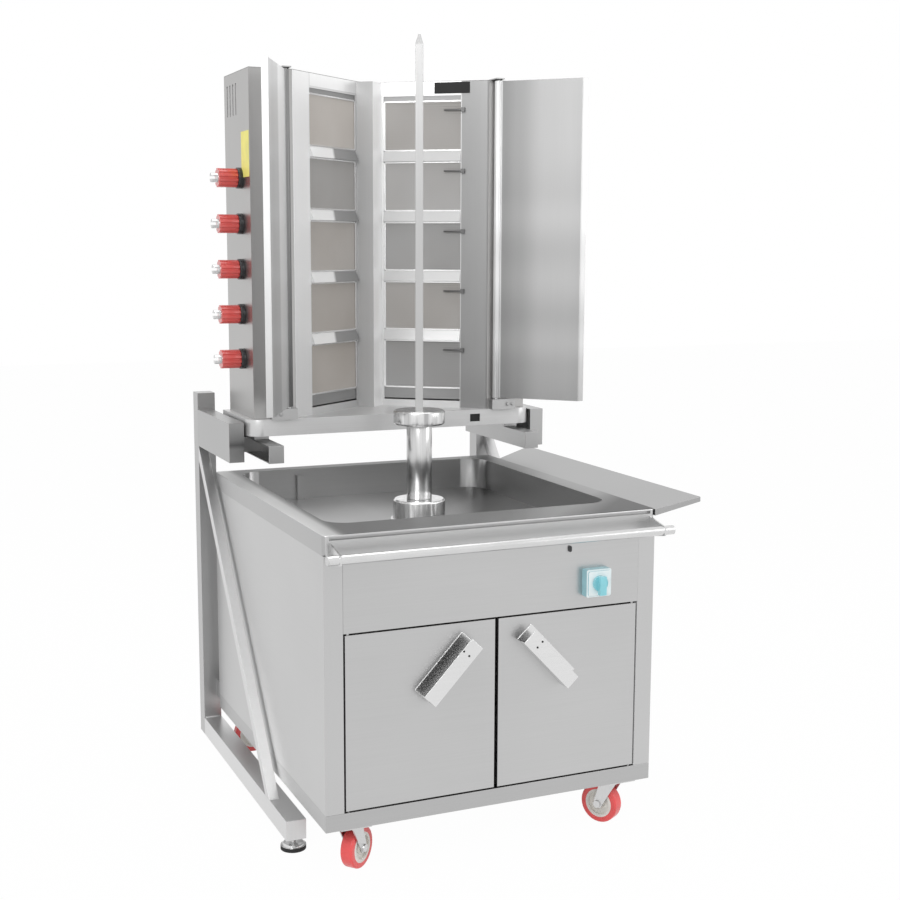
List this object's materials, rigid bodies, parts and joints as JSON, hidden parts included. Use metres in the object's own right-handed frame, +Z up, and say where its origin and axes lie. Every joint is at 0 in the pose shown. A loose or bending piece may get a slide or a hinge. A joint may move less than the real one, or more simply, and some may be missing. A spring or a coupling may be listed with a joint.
{
  "type": "vertical kebab grill",
  "caption": "Gas vertical kebab grill: angled radiant heater on sliding beams, turning spit over a basin, wind doors, cabinet with doors, side shelf, castors and rear frame.",
  "frame": {"origin": "bottom centre of the grill's bounding box, on the floor", "axes": "+Z up along the spit, -Y towards the cook, +X towards the side shelf"},
  "size_m": [1.0264, 1.127, 1.9675],
  "materials": {
    "stainless": "satin",
    "chrome": "polished",
    "bright_steel": "satin",
    "zinc": "bright zinc",
    "foot_chrome": "polished",
    "wheel_hub": "matt",
    "red_tyre": "satin",
    "switch_housing": "gloss",
    "switch_knob": "gloss",
    "black_plastic": "gloss",
    "tap_red": "gloss",
    "motor_paint": "satin",
    "burner_steel": "dull",
    "burner_ceramic": "matt",
    "brass": "satin"
  },
  "bodies": {
    "base": {"floor_pan": "stainless", "cabinet_shell": "stainless", "control_fascia": "stainless", "basin_top": "stainless", "side_shelf": "stainless", "front_rail": "stainless", "door_pins": "bright_steel", "switch_box": "switch_housing", "indicator_lamp": "black_plastic", "gearmotor": "motor_paint", "shaft_housing": "chrome", "castor_plates": "zinc", "frame_posts": "stainless", "frame_cross_tubes": "stainless", "frame_foot_tubes": "stainless", "frame_braces": "stainless", "slide_arms": "stainless"},
    "spit": {"drive_shaft": "bright_steel", "spit_tube": "chrome", "spit_flange": "chrome", "spit_bar": "bright_steel"},
    "cabinet_door_left": {"door_left": "stainless", "door_handle_left": "stainless"},
    "cabinet_door_right": {"door_right": "stainless", "door_handle_right": "stainless"},
    "heater_carriage": {"slide_beams": "stainless", "heater_deck": "stainless", "heater_shell": "stainless", "heater_top": "stainless", "burner_frames": "stainless", "centre_post": "stainless", "burner_boxes": "burner_steel", "burner_plaques": "burner_ceramic", "igniter_rods": "bright_steel", "gas_pipes": "brass", "tap_bezels": "black_plastic", "badge_plate": "black_plastic", "wind_hinges": "stainless"},
    "wind_leaf_left": {"wind_door_left": "stainless"},
    "wind_leaf_right": {"wind_door_right": "stainless"},
    "switch_dial": {"switch_knob": "switch_knob"},
    "foot_left": {"level_foot_left": "foot_chrome"},
    "foot_right": {"level_foot_right": "foot_chrome"},
    "tap_dial_1": {"tap_knob_1": "tap_red"},
    "tap_dial_2": {"tap_knob_2": "tap_red"},
    "tap_dial_3": {"tap_knob_3": "tap_red"},
    "tap_dial_4": {"tap_knob_4": "tap_red"},
    "tap_dial_5": {"tap_knob_5": "tap_red"},
    "fork_front_left": {"castor_fork_front_left": "zinc"},
    "wheel_front_left": {"castor_hub_front_left": "wheel_hub", "castor_tyre_front_left": "red_tyre"},
    "fork_front_right": {"castor_fork_front_right": "zinc"},
    "wheel_front_right": {"castor_hub_front_right": "wheel_hub", "castor_tyre_front_right": "red_tyre"},
    "fork_rear_left": {"castor_fork_rear_left": "zinc"},
    "wheel_rear_left": {"castor_hub_rear_left": "wheel_hub", "castor_tyre_rear_left": "red_tyre"},
    "fork_rear_right": {"castor_fork_rear_right": "zinc"},
    "wheel_rear_right": {"castor_hub_rear_right": "wheel_hub", "castor_tyre_rear_right": "red_tyre"}
  },
  "joints": [
    {"name": "spit_spin", "type": "hinge", "parent": "base", "child": "spit", "pos_m": [-0.04175, -0.0135, 0.787], "axis": [0, 0, 1], "continuous": true},
    {"name": "cabinet_door_left_hinge", "type": "hinge", "parent": "base", "child": "cabinet_door_left", "pos_m": [-0.40964, -0.4825, 0.16911], "axis": [0, 0, 1], "range_deg": [-110, 0]},
    {"name": "cabinet_door_right_hinge", "type": "hinge", "parent": "base", "child": "cabinet_door_right", "pos_m": [0.32614, -0.4825, 0.16911], "axis": [0, 0, 1], "range_deg": [0, 110]},
    {"name": "heater_slide", "type": "slide", "parent": "base", "child": "heater_carriage", "axis": [0, 1, 0], "range_m": [-0.08, 0.05]},
    {"name": "wind_leaf_left_hinge", "type": "hinge", "parent": "heater_carriage", "child": "wind_leaf_left", "pos_m": [-0.34175, 0.1515, 1.024], "axis": [0, 0, 1], "range_deg": [-59, 113]},
    {"name": "wind_leaf_right_hinge", "type": "hinge", "parent": "heater_carriage", "child": "wind_leaf_right", "pos_m": [0.25825, 0.1515, 1.024], "axis": [0, 0, 1], "range_deg": [-131, 42]},
    {"name": "switch_turn", "type": "hinge", "parent": "base", "child": "switch_dial", "pos_m": [0.21725, -0.516, 0.647], "axis": [0, 1, 0], "range_deg": [0, 90]},
    {"name": "foot_left_turn", "type": "hinge", "parent": "base", "child": "foot_left", "pos_m": [-0.47475, -0.2655, 0], "axis": [0, 0, 1], "continuous": true},
    {"name": "foot_right_turn", "type": "hinge", "parent": "base", "child": "foot_right", "pos_m": [0.39125, -0.2655, 0], "axis": [0, 0, 1], "continuous": true},
    {"name": "tap_1_turn", "type": "hinge", "parent": "heater_carriage", "child": "tap_dial_1", "pos_m": [-0.44625, 0.2545, 1.145], "axis": [-1, 0, 0], "range_deg": [0, 90]},
    {"name": "tap_2_turn", "type": "hinge", "parent": "heater_carriage", "child": "tap_dial_2", "pos_m": [-0.44625, 0.2545, 1.2625], "axis": [-1, 0, 0], "range_deg": [0, 90]},
    {"name": "tap_3_turn", "type": "hinge", "parent": "heater_carriage", "child": "tap_dial_3", "pos_m": [-0.44625, 0.2545, 1.38], "axis": [-1, 0, 0], "range_deg": [0, 90]},
    {"name": "tap_4_turn", "type": "hinge", "parent": "heater_carriage", "child": "tap_dial_4", "pos_m": [-0.44625, 0.2545, 1.4975], "axis": [-1, 0, 0], "range_deg": [0, 90]},
    {"name": "tap_5_turn", "type": "hinge", "parent": "heater_carriage", "child": "tap_dial_5", "pos_m": [-0.44625, 0.2545, 1.615], "axis": [-1, 0, 0], "range_deg": [0, 90]},
    {"name": "swivel_front_left", "type": "hinge", "parent": "base", "child": "fork_front_left", "pos_m": [-0.39175, -0.4405, 0.116], "axis": [0, 0, 1], "continuous": true},
    {"name": "wheel_roll_front_left", "type": "hinge", "parent": "fork_front_left", "child": "wheel_front_left", "pos_m": [-0.36863, -0.42138, 0.05], "axis": [-0.6374, 0.7705, 0], "continuous": true},
    {"name": "swivel_front_right", "type": "hinge", "parent": "base", "child": "fork_front_right", "pos_m": [0.30825, -0.4405, 0.116], "axis": [0, 0, 1], "continuous": true},
    {"name": "wheel_roll_front_right", "type": "hinge", "parent": "fork_front_right", "child": "wheel_front_right", "pos_m": [0.29266, -0.41487, 0.05], "axis": [-0.8545, -0.5195, 0], "continuous": true},
    {"name": "swivel_rear_left", "type": "hinge", "parent": "base", "child": "fork_rear_left", "pos_m": [-0.35675, 0.4135, 0.116], "axis": [0, 0, 1], "continuous": true},
    {"name": "wheel_roll_rear_left", "type": "hinge", "parent": "fork_rear_left", "child": "wheel_rear_left", "pos_m": [-0.38664, 0.41612, 0.05], "axis": [-0.0872, -0.9962, 0], "continuous": true},
    {"name": "swivel_rear_right", "type": "hinge", "parent": "base", "child": "fork_rear_right", "pos_m": [0.27325, 0.4135, 0.116], "axis": [0, 0, 1], "continuous": true},
    {"name": "wheel_roll_rear_right", "type": "hinge", "parent": "fork_rear_right", "child": "wheel_rear_right", "pos_m": [0.26299, 0.44169, 0.05], "axis": [-0.9397, -0.342, 0], "continuous": true}
  ]
}
